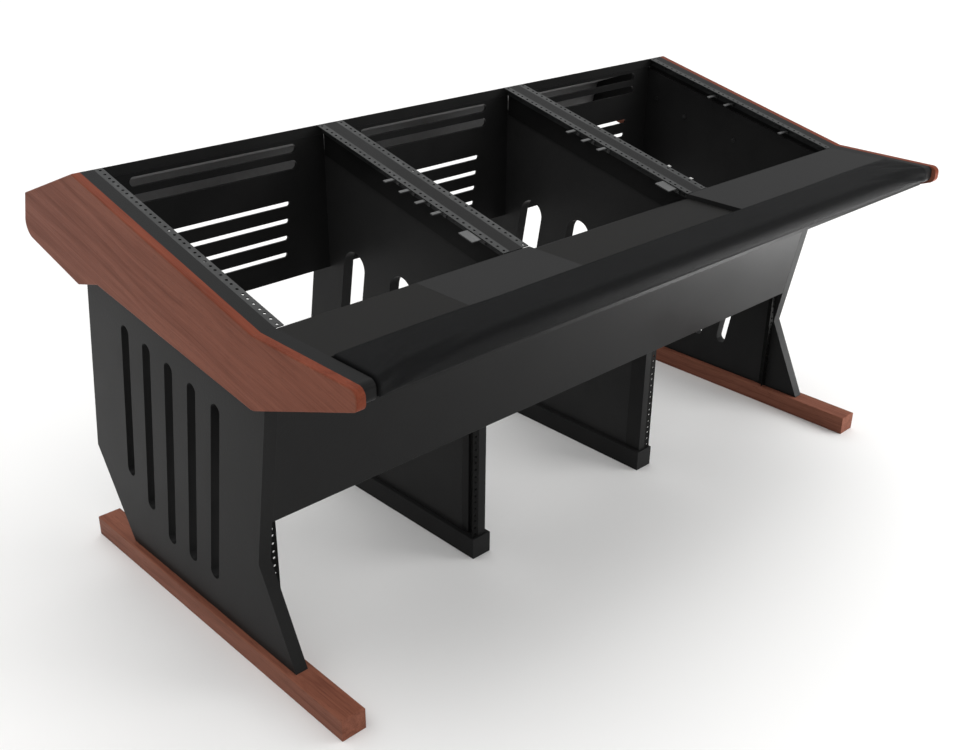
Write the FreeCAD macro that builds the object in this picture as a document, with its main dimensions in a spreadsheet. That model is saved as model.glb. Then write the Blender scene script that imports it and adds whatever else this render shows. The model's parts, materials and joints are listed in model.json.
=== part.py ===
"""Three-bay studio console desk with sloped 19 inch rack bays, in separate pieces.

Lengths are millimetres. X runs along the desk, Y from the operator to the back, Z up.
The origin is on the floor, under the middle of the desk.
"""
import FreeCAD, Part
import math
import os
import Sketcher
from FreeCAD import Placement, Rotation, Vector

DOC = FreeCAD.newDocument("StudioDesk")
SHEET = DOC.addObject("Spreadsheet::Sheet", "Sizes")

# Driving dimensions. Every cell of the spreadsheet comes from this table.
CELLS = {
    # 19 inch rack: opening between rails, panel unit, hole spacing, rail strip
    "bay_width": 450.0,
    "rack_unit": 44.45,
    "hole_span": 465.1,
    "hole_radius": 2.6,
    "rail_width": 15.9,
    "rail_web": 18.0,
    "rail_gauge": 2.0,
    "upper_units": 12,
    "lower_units": 6,
    "cap_width": 61.4,
    # widths across the desk
    "frame_board": 25.0,
    "cheek_board": 16.0,
    "leg_inner": 742.6,
    "leg_board": 24.0,
    "foot_width": 48.0,
    "divider_board": 24.0,
    "rail_reach": 21.0,
    "stile_plain": 14.0,
    "rebate_depth": 22.0,
    "plinth_width": 46.0,
    # profile of the top, seen from the side
    "deck_z": 671.0,
    "kink_y": -253.6,
    "rack_run": 521.6,
    "rack_rise": 123.3,
    "nose_y": -494.5,
    "frame_nose_y": -485.5,
    "rear_fall": 0.384,
    # wood cheek
    "cheek_rear_y": 474.5,
    "cheek_tail_y": 503.23,
    "cheek_tail_z": 634.2,
    "cheek_heel_y": 304.5,
    "cheek_heel_z": 585.0,
    "cheek_notch_y": 229.5,
    "cheek_notch_z": 606.0,
    "cheek_chin_y": -237.5,
    "cheek_chin_z": 542.0,
    "cheek_nose_z": 639.5,
    # side frame and rear cover
    "frame_chin_y": -240.0,
    "frame_chin_z": 562.0,
    "frame_rise": 0.1333,
    "frame_nose_z": 641.0,
    "cover_rear_y": 462.0,
    "lip_foot_y": 482.5,
    "lip_foot_z": 640.0,
    "cover_board": 18.0,
    # leg panel
    "foot_height": 42.0,
    "foot_front_y": -401.5,
    "foot_rear_y": 411.5,
    "leg_front_y": -261.5,
    "leg_rear_y": 280.0,
    "knee_y": -173.5,
    "knee_z": 221.0,
    "hock_y": 387.5,
    "hock_z": 217.0,
    "front_lean": 0.1821,
    "rear_lean": 0.1686,
    "tongue_drop": 27.0,
    "slot_radius": 13.0,
    "slot_pitch": 71.3,
    "slot_lean": 0.1656,
    "slot_top_y": 201.5,
    "slot_top_z": 531.0,
    "slot_step": 11.4,
    # panels
    "knee_panel_foot": 300.0,
    "knee_board": 16.26,
    "back_board": 6.0,
    "back_foot": 495.0,
    "deck_board": 18.0,
    "deck_front_y": -476.0,
    "pad_back_y": -384.5,
    "plinth_height": 46.0,
    "plinth_front_y": -177.0,
    "stile_front_y": -171.5,
    "stile_depth": 40.0,
    "top_rail_width": 29.5,
    "top_rail_depth": 61.65,
    "divider_setback": 12.0,
}


class Dim:
    """A number together with the spreadsheet expression that gives it."""

    def __init__(self, value, text):
        self.value = value
        self.text = text

    def join(self, other, sign, value):
        return Dim(value, "(" + self.text + " " + sign + " " + dim(other).text + ")")

    def __add__(self, other):
        return self.join(other, "+", self.value + dim(other).value)

    def __sub__(self, other):
        return self.join(other, "-", self.value - dim(other).value)

    def __mul__(self, other):
        return self.join(other, "*", self.value * dim(other).value)

    def __truediv__(self, other):
        return self.join(other, "/", self.value / dim(other).value)

    def __radd__(self, other):
        return dim(other) + self

    def __rsub__(self, other):
        return dim(other) - self

    def __rmul__(self, other):
        return dim(other) * self

    def __neg__(self):
        return self * -1


def dim(number):
    """Turn a plain number into a Dim, and leave a Dim as it is."""
    if isinstance(number, Dim):
        return number
    return Dim(float(number), "(%r)" % float(number))


def fill_sheet():
    """Write the table into the spreadsheet and give back its cells as Dims."""
    dims = {}
    for row, (name, value) in enumerate(CELLS.items(), start=1):
        SHEET.set("A%d" % row, name)
        SHEET.set("B%d" % row, str(value))
        SHEET.setAlias("B%d" % row, name)
        dims[name] = Dim(float(value), "Sizes." + name)
    DOC.recompute()
    return dims


D = fill_sheet()
NODES = []

# Planes that several pieces share
SLOPE = D["rack_rise"] / D["rack_run"]
TOP_Y = D["kink_y"] + D["rack_run"]
TOP_Z = D["deck_z"] + D["rack_rise"]
RAIL_IN = D["bay_width"] * 1.5 + D["cap_width"]
FRAME_IN = RAIL_IN + D["rail_width"]
FRAME_OUT = FRAME_IN + D["frame_board"]
DIVIDER_X = (D["bay_width"] + D["cap_width"]) * 0.5
DECK_UNDER = D["deck_z"] - 37.0
DECK_TOP = DECK_UNDER + D["deck_board"]
SLOPE_ANGLE = math.degrees(math.atan2(D["rack_rise"].value, D["rack_run"].value))


def slope_z(y):
    """Height of the rack plane at a given Y."""
    return D["deck_z"] + (y - D["kink_y"]) * SLOPE


def front_y(z):
    """Y of the leaning front edge of the legs at a given height."""
    return D["knee_y"] - (z - D["knee_z"]) * D["front_lean"]


def rear_y(z):
    """Y of the leaning rear edge of the legs at a given height."""
    return D["hock_y"] - (z - D["hock_z"]) * D["rear_lean"]


DECK_REAR = front_y(DECK_UNDER) + D["knee_board"]


# ---------------------------------------------------------------- document helpers

def bind(item, prop, value):
    """Give an object's property its number and its expression."""
    item.setExpression(prop, dim(value).text)


def new_body(label, x=0.0, y=0.0, z=0.0, tilt=0.0):
    """Start a body whose place is bound to the sheet."""
    body = DOC.addObject("PartDesign::Body", label)
    body.Label = label
    spot = [dim(v) for v in (x, y, z)]
    base = Vector(*[v.value for v in spot])
    body.Placement = Placement(base, Rotation(Vector(1, 0, 0), tilt))
    for axis, value in zip("xyz", spot):
        bind(body, "Placement.Base." + axis, value)
    NODES.append(body)
    return body


def new_sketch(body, role, offset=None):
    """Put a sketch on one of the body's own planes, moved along its normal."""
    plane = [p for p in body.Origin.OriginFeatures if p.Role == role][0]
    sketch = body.newObject("Sketcher::SketchObject", body.Name + "_sketch")
    sketch.AttachmentSupport = (plane, [""])
    sketch.MapMode = "FlatFace"
    if offset is not None:
        sketch.AttachmentOffset = Placement(Vector(0, 0, dim(offset).value), Rotation())
        bind(sketch, "AttachmentOffset.Base.z", offset)
    return sketch


def pin_point(sketch, geo, pos, point):
    """Fix one point of a sketch at two dimensions from its origin."""
    for kind, axis, value in (("DistanceX", -2, point[0]), ("DistanceY", -1, point[1])):
        value = dim(value)
        if abs(value.value) < 1e-9:
            sketch.addConstraint(Sketcher.Constraint("PointOnObject", geo, pos, axis))
            continue
        number = sketch.addConstraint(
            Sketcher.Constraint(kind, -1, 1, geo, pos, value.value))
        bind(sketch, "Constraints[%d]" % number, value)


def flat(point):
    """Plain vector of a pair of Dims."""
    return Vector(dim(point[0]).value, dim(point[1]).value, 0)


def polygon(sketch, points):
    """Closed outline through the given points."""
    first = sketch.GeometryCount
    count = len(points)
    for i in range(count):
        line = Part.LineSegment(flat(points[i]), flat(points[(i + 1) % count]))
        sketch.addGeometry(line)
    for i in range(count):
        follow = first + (i + 1) % count
        sketch.addConstraint(Sketcher.Constraint("Coincident", first + i, 2, follow, 1))
    for i in range(count):
        pin_point(sketch, first + i, 1, points[i])


def rectangle(sketch, x0, x1, y0, y1):
    """Axis-aligned rectangle."""
    polygon(sketch, [(x0, y0), (x1, y0), (x1, y1), (x0, y1)])


def circle(sketch, centre, radius):
    """Round hole or disc."""
    geo = sketch.addGeometry(Part.Circle(flat(centre), Vector(0, 0, 1), dim(radius).value))
    pin_point(sketch, geo, 3, centre)
    number = sketch.addConstraint(Sketcher.Constraint("Radius", geo, dim(radius).value))
    bind(sketch, "Constraints[%d]" % number, radius)


def slot(sketch, low, high, radius):
    """Round-ended slot between two end centres."""
    start, end = flat(low), flat(high)
    size = dim(radius).value
    turn = math.atan2(end.y - start.y, end.x - start.x)
    side = Vector(-math.sin(turn), math.cos(turn), 0) * size
    up = Vector(0, 0, 1)
    quarter = math.pi / 2
    head = Part.ArcOfCircle(Part.Circle(end, up, size), turn - quarter, turn + quarter)
    tail = Part.ArcOfCircle(Part.Circle(start, up, size), turn + quarter, turn + 3 * quarter)
    right = Part.LineSegment(start - side, end - side)
    left = Part.LineSegment(end + side, start + side)
    geo = [sketch.addGeometry(g) for g in (head, tail, right, left)]
    for a, b in ((2, 0), (0, 3), (3, 1), (1, 2)):
        sketch.addConstraint(Sketcher.Constraint("Tangent", geo[a], 2, geo[b], 1))
    sketch.addConstraint(Sketcher.Constraint("Equal", geo[0], geo[1]))
    pin_point(sketch, geo[0], 3, high)
    pin_point(sketch, geo[1], 3, low)
    number = sketch.addConstraint(Sketcher.Constraint("Radius", geo[0], size))
    bind(sketch, "Constraints[%d]" % number, radius)


def pad(body, sketch, length, reverse=False, both=False):
    """Pad a sketch by a bound length."""
    feature = body.newObject("PartDesign::Pad", body.Name + "_pad")
    feature.Profile = sketch
    feature.Length = dim(length).value
    bind(feature, "Length", length)
    feature.Reversed = reverse
    feature.Midplane = both
    DOC.recompute()
    return feature


def pocket(body, sketch, depth=None, reverse=False):
    """Cut a sketch to a bound depth, or both ways through everything."""
    feature = body.newObject("PartDesign::Pocket", body.Name + "_pocket")
    feature.Profile = sketch
    if depth is None:
        feature.Type = "ThroughAll"
        feature.Midplane = True
    else:
        feature.Length = dim(depth).value
        bind(feature, "Length", depth)
        feature.Reversed = reverse
    DOC.recompute()
    return feature


def round_edges(body, radius, wanted):
    """Fillet the edges of the body's tip that a test picks out."""
    tip = body.Tip
    names = []
    for number, edge in enumerate(tip.Shape.Edges, start=1):
        if wanted(edge):
            names.append("Edge%d" % number)
    feature = body.newObject("PartDesign::Fillet", body.Name + "_fillet")
    feature.Base = (tip, names)
    feature.Radius = dim(radius).value
    bind(feature, "Radius", radius)
    DOC.recompute()
    return feature


def at_corner(y, z):
    """Test for an edge that runs along X through a corner of the side view."""
    y, z = dim(y).value, dim(z).value

    def wanted(edge):
        box = edge.BoundBox
        near = abs(box.YMin - y) + abs(box.YMax - y) + abs(box.ZMin - z) + abs(box.ZMax - z)
        return near < 0.5 and box.XLength > 1.0
    return wanted


def on_face_x(x):
    """Test for an edge that lies in the plane at a given X of the body."""
    x = dim(x).value

    def wanted(edge):
        box = edge.BoundBox
        return abs(box.XMin - x) < 0.01 and abs(box.XMax - x) < 0.01
    return wanted


def primitive(kind, name, sizes, place):
    """Part primitive with bound sizes."""
    item = DOC.addObject("Part::" + kind, name)
    for prop, value in sizes.items():
        setattr(item, prop, dim(value).value)
        bind(item, prop, value)
    item.Placement = place
    return item


def group(label, members, x=0.0, y=0.0, z=0.0, tilt=0.0):
    """One node made of separate solids."""
    node = DOC.addObject("Part::Compound", label)
    node.Label = label
    node.Links = members
    spot = [dim(v) for v in (x, y, z)]
    base = Vector(*[v.value for v in spot])
    node.Placement = Placement(base, Rotation(Vector(1, 0, 0), tilt))
    for axis, value in zip("xyz", spot):
        bind(node, "Placement.Base." + axis, value)
    NODES.append(node)
    return node


def fused(name, members):
    """Union of primitives."""
    item = DOC.addObject("Part::MultiFuse", name)
    item.Shapes = members
    return item


def screw(name, head_radius, head_height, shank_radius, shank_length, place):
    """Screw along +X: the head sits at negative X and the shank at positive X."""
    along = Rotation(Vector(0, 1, 0), 90)
    head = primitive("Cylinder", name + "_head", {"Radius": head_radius, "Height": head_height},
                     Placement(Vector(-head_height, 0, 0), along))
    shank = primitive("Cylinder", name + "_shank",
                      {"Radius": shank_radius, "Height": shank_length},
                      Placement(Vector(0, 0, 0), along))
    item = fused(name, [head, shank])
    item.Placement = place
    return item


# ---------------------------------------------------------------- side pieces

# slots of a back panel: height of the middle, half length, radius
WIDE_SLOTS = ((757.0, 176.0, 9.0), (725.0, 176.0, 9.0))
NARROW_SLOT = (649.4, 155.0, 5.0)
NARROW_STEP = 34.4
NARROW_TAPER = 4.3
RAIL_SCREWS = (18.0, 140.0, 335.0, 490.0)
RAIL_SCREW_DEPTH = 10.0
RAIL_GAP = 1.3
TAB_WIDTH = 7.0
PLATE_WIDTH = 36.0
LAP_SCREWS = ((-150.0, 600.0), (0.0, 640.0), (150.0, 670.0), (240.0, 700.0))
BOLT_Y = (-200.0, 10.0, 220.0)


def rail_screw_points():
    """Places of the rail screws in the side view, on the sloped rail."""
    points = []
    cos = D["rack_run"] / 535.97
    sin = D["rack_rise"] / 535.97
    for run in RAIL_SCREWS:
        y = D["kink_y"] + cos * run + sin * RAIL_SCREW_DEPTH
        z = D["deck_z"] + sin * run - cos * RAIL_SCREW_DEPTH
        points.append((y, z))
    return points


def make_cheek(label, side):
    """Solid wood cheek on the outside of the desk top, with a rounded outer edge."""
    body = new_body(label, FRAME_OUT * side)
    outline = [
        (D["kink_y"], D["deck_z"]),
        (TOP_Y, TOP_Z),
        (D["cheek_rear_y"], TOP_Z - (D["cheek_rear_y"] - TOP_Y) * D["rear_fall"]),
        (D["cheek_tail_y"], D["cheek_tail_z"]),
        (D["cheek_heel_y"], D["cheek_heel_z"]),
        (D["cheek_notch_y"], D["cheek_notch_z"]),
        (D["cheek_chin_y"], D["cheek_chin_z"]),
        (D["nose_y"], D["cheek_nose_z"]),
        (D["nose_y"], D["deck_z"]),
    ]
    sketch = new_sketch(body, "YZ_Plane")
    polygon(sketch, outline)
    pad(body, sketch, D["cheek_board"], reverse=side < 0)
    corners = ((3, 28.0), (4, 8.0), (6, 30.0), (7, 14.0), (8, 14.0))
    for index, radius in corners:
        round_edges(body, radius, at_corner(*outline[index]))
    round_edges(body, 2.5, on_face_x(D["cheek_board"] * side))


def make_frame(label, side):
    """Side frame board that carries the rack rail, the deck and the rear cover."""
    body = new_body(label, FRAME_IN * side)
    tail_y = dim(330.0)
    outline = [
        (D["kink_y"], D["deck_z"]),
        (TOP_Y, TOP_Z),
        (D["cover_rear_y"], TOP_Z - (D["cover_rear_y"] - TOP_Y) * D["rear_fall"]),
        (D["lip_foot_y"], D["lip_foot_z"]),
        (tail_y, frame_under(tail_y)),
        (D["frame_chin_y"], D["frame_chin_z"]),
        (D["frame_nose_y"], D["frame_nose_z"]),
        (D["frame_nose_y"], D["deck_z"]),
    ]
    sketch = new_sketch(body, "YZ_Plane")
    polygon(sketch, outline)
    pad(body, sketch, D["frame_board"], reverse=side < 0)
    for index, radius in ((6, 12.0), (7, 12.0)):
        round_edges(body, radius, at_corner(*outline[index]))
    holes = new_sketch(body, "YZ_Plane")
    for point in rail_screw_points():
        circle(holes, point, 2.0)
    pocket(body, holes, 14.0, reverse=side > 0)
    laps = new_sketch(body, "YZ_Plane")
    for point in LAP_SCREWS:
        circle(laps, point, 2.7)
    pocket(body, laps, 16.0, reverse=side > 0)


def frame_under(y):
    """Height of the side frame's lower edge behind its chin."""
    return D["frame_chin_z"] + (y - D["frame_chin_y"]) * D["frame_rise"]


def meet_frame(y0, z0, lean):
    """Point where a leaning leg edge meets the side frame's lower edge."""
    rise = D["frame_rise"]
    top = y0 - lean * (D["frame_chin_z"] - D["frame_chin_y"] * rise - z0)
    y = top / (1 + rise * lean)
    return (y, frame_under(y))


def make_leg(label, side):
    """Slotted leg panel. Its inner layer runs on as a tongue behind the side frame."""
    body = new_body(label, D["leg_inner"] * side)
    tongue = FRAME_IN - D["leg_inner"]
    low_front = (D["leg_front_y"], D["foot_height"])
    low_rear = (D["leg_rear_y"], D["foot_height"])
    knee = (D["knee_y"], D["knee_z"])
    hock = (D["hock_y"], D["hock_z"])
    inner = [
        low_front, knee,
        (front_y(DECK_UNDER), DECK_UNDER),
        (DECK_REAR, DECK_UNDER),
        (DECK_REAR, slope_z(DECK_REAR) - D["tongue_drop"]),
        (TOP_Y, TOP_Z - D["tongue_drop"]),
        (rear_y(dim(750.0)), 750.0),
        hock, low_rear,
    ]
    outer = [
        low_front, knee,
        meet_frame(D["knee_y"], D["knee_z"], D["front_lean"]),
        meet_frame(D["hock_y"], D["hock_z"], D["rear_lean"]),
        hock, low_rear,
    ]
    sketch = new_sketch(body, "YZ_Plane")
    polygon(sketch, inner)
    pad(body, sketch, tongue, reverse=side < 0)
    sketch = new_sketch(body, "YZ_Plane", tongue * side)
    polygon(sketch, outer)
    pad(body, sketch, D["leg_board"] - tongue, reverse=side < 0)
    cut_leg_slots(body)
    laps = new_sketch(body, "YZ_Plane")
    for point in LAP_SCREWS:
        circle(laps, point, 3.2)
    pocket(body, laps, tongue, reverse=side > 0)
    bolts = new_sketch(body, "XY_Plane", D["foot_height"])
    for y in BOLT_Y:
        circle(bolts, (D["leg_board"] * 0.5 * side, y), 4.2)
    pocket(body, bolts, 42.0, reverse=True)


def cut_leg_slots(body):
    """Five leaning round-ended slots, longer towards the front."""
    foot_steps = (204.0, 159.0, 114.0, 114.0, 114.0)
    radius = D["slot_radius"]
    sketch = new_sketch(body, "YZ_Plane")
    for number, foot in enumerate(foot_steps):
        top_y = D["slot_top_y"] - D["slot_pitch"] * number
        top_z = D["slot_top_z"] - D["slot_step"] * number
        run = (top_z - foot - radius) * D["slot_lean"]
        lead = radius * D["slot_lean"]
        slot(sketch, (top_y + run, radius + foot), (top_y + lead, top_z - radius), radius)
    pocket(body, sketch)


def make_foot(label, side):
    """Wood foot under the leg panel, with counterbored bolt holes."""
    centre = D["leg_inner"] + D["leg_board"] * 0.5
    body = new_body(label, centre * side)
    half = D["foot_width"] * 0.5
    sketch = new_sketch(body, "XY_Plane")
    rectangle(sketch, -half, half, D["foot_front_y"], D["foot_rear_y"])
    pad(body, sketch, D["foot_height"])
    top = D["foot_height"].value

    def upper(edge):
        return edge.BoundBox.ZMax > top - 0.01 and edge.BoundBox.ZLength < 0.01
    round_edges(body, 3.0, upper)
    holes = new_sketch(body, "XY_Plane")
    sinks = new_sketch(body, "XY_Plane")
    for y in BOLT_Y:
        circle(holes, (0.0, y), 4.6)
        circle(sinks, (0.0, y), 8.0)
    pocket(body, holes)
    pocket(body, sinks, 10.0, reverse=True)


def make_foot_bolts(label, side):
    """Socket-head bolts that hold one foot to its leg."""
    bolts = []
    for number, y in enumerate(BOLT_Y):
        place = Placement(Vector(0, y, 9.0), Rotation(Vector(0, 1, 0), -90))
        bolts.append(screw(label + "_%d" % number, 6.5, 8.0, 4.0, 70.0, place))
    group(label, bolts, (D["leg_inner"] + D["leg_board"] * 0.5) * side)


def make_lap_screws():
    """Screws through both leg tongues into the side frames."""
    screws = []
    for side in (-1, 1):
        turn = Rotation() if side > 0 else Rotation(Vector(0, 0, 1), 180)
        for number, (y, z) in enumerate(LAP_SCREWS):
            place = Placement(Vector(D["leg_inner"].value * side, y, z), turn)
            name = "lap_%s%d" % ("right" if side > 0 else "left", number)
            screws.append(screw(name, 5.0, 2.6, 2.5, 24.0, place))
    group("tongue_screws", screws)


# ---------------------------------------------------------------- dividers

def under_rail_front():
    """Where the knee panel's back face meets the underside of a top rail."""
    drop = D["top_rail_depth"]
    low = D["deck_z"] - D["kink_y"] * SLOPE - drop
    y = (front_y(low) + D["knee_board"]) / (1 + SLOPE * D["front_lean"])
    return (y, slope_z(y) - drop)


def make_top_rail(label, side):
    """Sloped rail on top of a divider, between two rack rails."""
    half = D["top_rail_width"] * 0.5
    body = new_body(label, DIVIDER_X * side - half)
    depth = D["top_rail_depth"]
    sketch = new_sketch(body, "YZ_Plane")
    polygon(sketch, [
        (D["kink_y"], D["deck_z"]),
        (D["kink_y"], DECK_TOP),
        (DECK_REAR, DECK_TOP),
        (DECK_REAR, DECK_UNDER),
        under_rail_front(),
        (TOP_Y, TOP_Z - depth),
        (TOP_Y, TOP_Z),
    ])
    pad(body, sketch, D["top_rail_width"])
    holes = new_sketch(body, "YZ_Plane")
    for point in rail_screw_points():
        circle(holes, point, 2.0)
    pocket(body, holes)


def make_divider(label, side):
    """Divider panel with two wide leaning slots."""
    half = D["divider_board"] * 0.5
    body = new_body(label, DIVIDER_X * side - half)
    stile_rear = D["stile_front_y"] + D["stile_depth"]
    step_z = D["plinth_height"] + 270.0
    back = D["knee_board"]
    drop = D["top_rail_depth"]
    setback = D["divider_setback"]
    low = D["deck_z"] - D["kink_y"] * SLOPE - drop
    rear = (rear_y(low) - setback) / (1 + SLOPE * D["rear_lean"])
    sketch = new_sketch(body, "YZ_Plane")
    polygon(sketch, [
        (stile_rear, D["plinth_height"]),
        (stile_rear, step_z),
        (front_y(step_z) + back, step_z),
        under_rail_front(),
        (rear, slope_z(rear) - drop),
        (D["hock_y"] - setback, D["hock_z"]),
        (D["leg_rear_y"] - setback, D["plinth_height"]),
    ])
    pad(body, sketch, D["divider_board"])
    radius = 32.5
    slots = new_sketch(body, "YZ_Plane")
    for centre_y, top_z, foot_z in ((191.0, 548.0, 210.0), (46.0, 537.0, 150.0)):
        run = (top_z - foot_z - 2 * radius) * D["slot_lean"]
        slot(slots, (run + centre_y, foot_z + radius), (centre_y, top_z - radius), radius)
    pocket(body, slots)


def make_stile(label, side):
    """Front post of a divider, rebated for the lower rack rail on its outer side."""
    body = new_body(label, DIVIDER_X * side, D["stile_front_y"], D["plinth_height"])
    rebate = D["rail_reach"] - D["rail_width"]
    board = D["divider_board"] * 0.5
    plain = D["stile_plain"]
    sketch = new_sketch(body, "XY_Plane")
    polygon(sketch, [
        (-plain * side, 0.0),
        (rebate * side, 0.0),
        (rebate * side, D["rebate_depth"]),
        (board * side, D["rebate_depth"]),
        (board * side, D["stile_depth"]),
        (-plain * side, D["stile_depth"]),
    ])
    pad(body, sketch, 270.0)


def make_plinth(label, side):
    """Floor block under a divider, a little wider than the panel above."""
    body = new_body(label, DIVIDER_X * side)
    half = D["plinth_width"] * 0.5
    sketch = new_sketch(body, "XY_Plane")
    rectangle(sketch, -half, half, D["plinth_front_y"], D["leg_rear_y"])
    pad(body, sketch, D["plinth_height"])
    top = D["plinth_height"].value

    def rim(edge):
        return edge.BoundBox.ZMin > top - 0.01
    round_edges(body, 1.5, rim)


# ---------------------------------------------------------------- rack rails

def rail_section(sketch, side, normal=1):
    """L section: the strip faces up and the web hangs on the side away from the bay."""
    width, web, gauge = D["rail_width"], D["rail_web"], D["rail_gauge"]
    polygon(sketch, [
        (0.0, 0.0),
        (width * side, 0.0),
        (width * side, -gauge * normal),
        (gauge * side, -gauge * normal),
        (gauge * side, -web * normal),
        (0.0, -web * normal),
    ])


def hole_line(side):
    """Distance of the hole line from the web, so that holes are one span apart."""
    return (D["rail_width"] - (D["hole_span"] - D["bay_width"]) * 0.5) * side


def punch_rail(body, sketch, side, units):
    """Three holes in each rack unit, repeated along the rail."""
    unit = D["rack_unit"]
    for step in (6.35, 22.225, 38.1):
        spot = (hole_line(side), dim(step))
        circle(sketch, spot, D["hole_radius"])
    cut = pocket(body, sketch, 4.0)
    row = body.newObject("PartDesign::LinearPattern", body.Name + "_pattern")
    row.Originals = [cut]
    row.Direction = (sketch, ["V_Axis"])
    row.Length = unit.value * (units.value - 1)
    bind(row, "Length", unit * (units - 1))
    row.Occurrences = int(units.value)
    bind(row, "Occurrences", units)
    body.Tip = row
    DOC.recompute()


def make_upper_rail(label, x, side):
    """Sloped rack rail; side is +1 when the bay is on its +X side."""
    cos = math.cos(math.radians(SLOPE_ANGLE))
    sin = math.sin(math.radians(SLOPE_ANGLE))
    gap = RAIL_GAP
    body = new_body(label, x, D["kink_y"] + gap * cos, D["deck_z"] + gap * sin, SLOPE_ANGLE)
    sketch = new_sketch(body, "XZ_Plane")
    rail_section(sketch, side)
    pad(body, sketch, D["rack_unit"] * D["upper_units"], reverse=True)
    holes = new_sketch(body, "XY_Plane")
    punch_rail(body, holes, side, D["upper_units"])
    fixings = new_sketch(body, "YZ_Plane")
    for run in RAIL_SCREWS:
        circle(fixings, (run - gap, -RAIL_SCREW_DEPTH), 2.3)
    pocket(body, fixings, D["rail_gauge"], reverse=side > 0)
    body.Tip = body.Group[-1]


def make_lower_rail(label, x, side):
    """Upright rack rail below the deck, facing the operator."""
    body = new_body(label, x, D["stile_front_y"], D["plinth_height"])
    sketch = new_sketch(body, "XY_Plane")
    rail_section(sketch, side, normal=-1)
    pad(body, sketch, D["rack_unit"] * D["lower_units"])
    holes = new_sketch(body, "XZ_Plane")
    punch_rail(body, holes, side, D["lower_units"])


def clear_holes(label, shelf, side, start, length):
    """Drills a plate where it would cover holes of the rail above it."""
    drills = []
    for number in range(36):
        unit, place = divmod(number, 3)
        run = RAIL_GAP + D["rack_unit"].value * unit + (6.35, 22.225, 38.1)[place]
        if start < run < start + length:
            spot = Vector(hole_line(side).value, run, -8.0)
            drills.append(primitive("Cylinder", "%s_drill%d" % (label, number),
                                    {"Radius": 3.2, "Height": 10.0},
                                    Placement(spot, Rotation())))
    cut = DOC.addObject("Part::Cut", label + "_drilled")
    cut.Base = shelf
    cut.Tool = fused(label + "_drills", drills) if len(drills) > 1 else drills[0]
    return cut


def make_tabs(label, x, side, middles, reach, plate=None, drop=0.0):
    """Tongues clipped under one rack rail, which reach into the bay between its holes."""
    gauge = D["rail_gauge"].value
    runs = [(middle - TAB_WIDTH * 0.5, TAB_WIDTH) for middle in middles]
    if plate is not None:
        runs.append((plate, PLATE_WIDTH))
    tabs = []
    for number, (run, width) in enumerate(runs):
        left = gauge if side > 0 else -gauge - 2.0
        leaf = primitive("Box", label + "_leaf%d" % number,
                         {"Length": 2.0, "Width": width, "Height": 14.0 - drop},
                         Placement(Vector(left, run, -2.0 * gauge - 13.0), Rotation()))
        start = gauge if side > 0 else -gauge - reach
        shelf = primitive("Box", label + "_shelf%d" % number,
                          {"Length": reach, "Width": width, "Height": 2.0},
                          Placement(Vector(start, run, -gauge - 2.0 - drop), Rotation()))
        if width > TAB_WIDTH:
            shelf = clear_holes(label, shelf, side, run, width)
        tabs.append(fused(label + "_tab%d" % number, [leaf, shelf]))
    group(label, tabs, x, D["kink_y"], D["deck_z"], SLOPE_ANGLE)


def make_rail_screws(sides):
    """Screws through the webs of the sloped rails."""
    screws = []
    for rail, (x, side) in enumerate(sides):
        turn = Rotation(Vector(0, 0, 1), 180) if side > 0 else Rotation()
        for number, run in enumerate(RAIL_SCREWS):
            spot = Vector(x.value + D["rail_gauge"].value * side, run, -RAIL_SCREW_DEPTH)
            name = "rail%d_screw%d" % (rail, number)
            screws.append(screw(name, 3.6, 2.0, 1.8, 13.0, Placement(spot, turn)))
    group("rail_screws", screws, 0.0, D["kink_y"], D["deck_z"], SLOPE_ANGLE)


# ---------------------------------------------------------------- boards along X

def make_board(label, x0, x1, outline):
    """Board with a constant side view between two X positions."""
    body = new_body(label, x0)
    sketch = new_sketch(body, "YZ_Plane")
    polygon(sketch, outline)
    pad(body, sketch, x1 - x0)
    return body


def block(y0, y1, z0, z1):
    """Rectangular side view."""
    return [(y0, z0), (y1, z0), (y1, z1), (y0, z1)]


def make_knee_panel():
    """Leaning front panel between the legs, flush with their front edges."""
    foot, back = D["knee_panel_foot"], D["knee_board"]
    outline = [
        (front_y(foot), foot),
        (front_y(DECK_UNDER), DECK_UNDER),
        (front_y(DECK_UNDER) + back, DECK_UNDER),
        (front_y(foot) + back, foot),
    ]
    make_board("knee_panel", -D["leg_inner"], D["leg_inner"], outline)


def cover_under(y):
    """Height of the rear cover's lower face."""
    return TOP_Z - D["cover_board"] * 1.0712 - (y - TOP_Y) * D["rear_fall"]


def cover_foot_y():
    """Y of the cover's lower front edge; its front is square to the rack plane."""
    drop = D["cover_board"] * 1.0712
    return TOP_Y + drop * SLOPE / (1 - SLOPE * D["rear_fall"])


def make_rear_cover():
    """Sloping rear cover and its lip, mitred along their shared edge."""
    fall = D["rear_fall"]
    drop = D["cover_board"] * 1.0712
    rear_z = TOP_Z - (D["cover_rear_y"] - TOP_Y) * fall
    run = D["lip_foot_y"] - D["cover_rear_y"]
    rise = rear_z - D["lip_foot_z"]
    shift = D["cover_board"] * -0.9686
    sink = D["cover_board"] * -0.2487
    lean = run / rise
    # mitre point of the two inner faces
    inner_z = TOP_Z - drop
    low_y = D["lip_foot_y"] + shift
    low_z = D["lip_foot_z"] + sink
    mitre_z = (inner_z - fall * (low_y + low_z * lean - TOP_Y)) / (1 - fall * lean)
    mitre_y = low_y + (low_z - mitre_z) * lean
    mitre = (mitre_y, mitre_z)
    ridge = (D["cover_rear_y"], rear_z)
    make_board("rear_cover", -FRAME_IN, FRAME_IN,
               [(TOP_Y, TOP_Z), (cover_foot_y(), cover_under(cover_foot_y())), mitre, ridge])
    make_board("rear_lip", -FRAME_IN, FRAME_IN,
               [ridge, mitre, (low_y, low_z), (D["lip_foot_y"], D["lip_foot_z"])])


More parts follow.
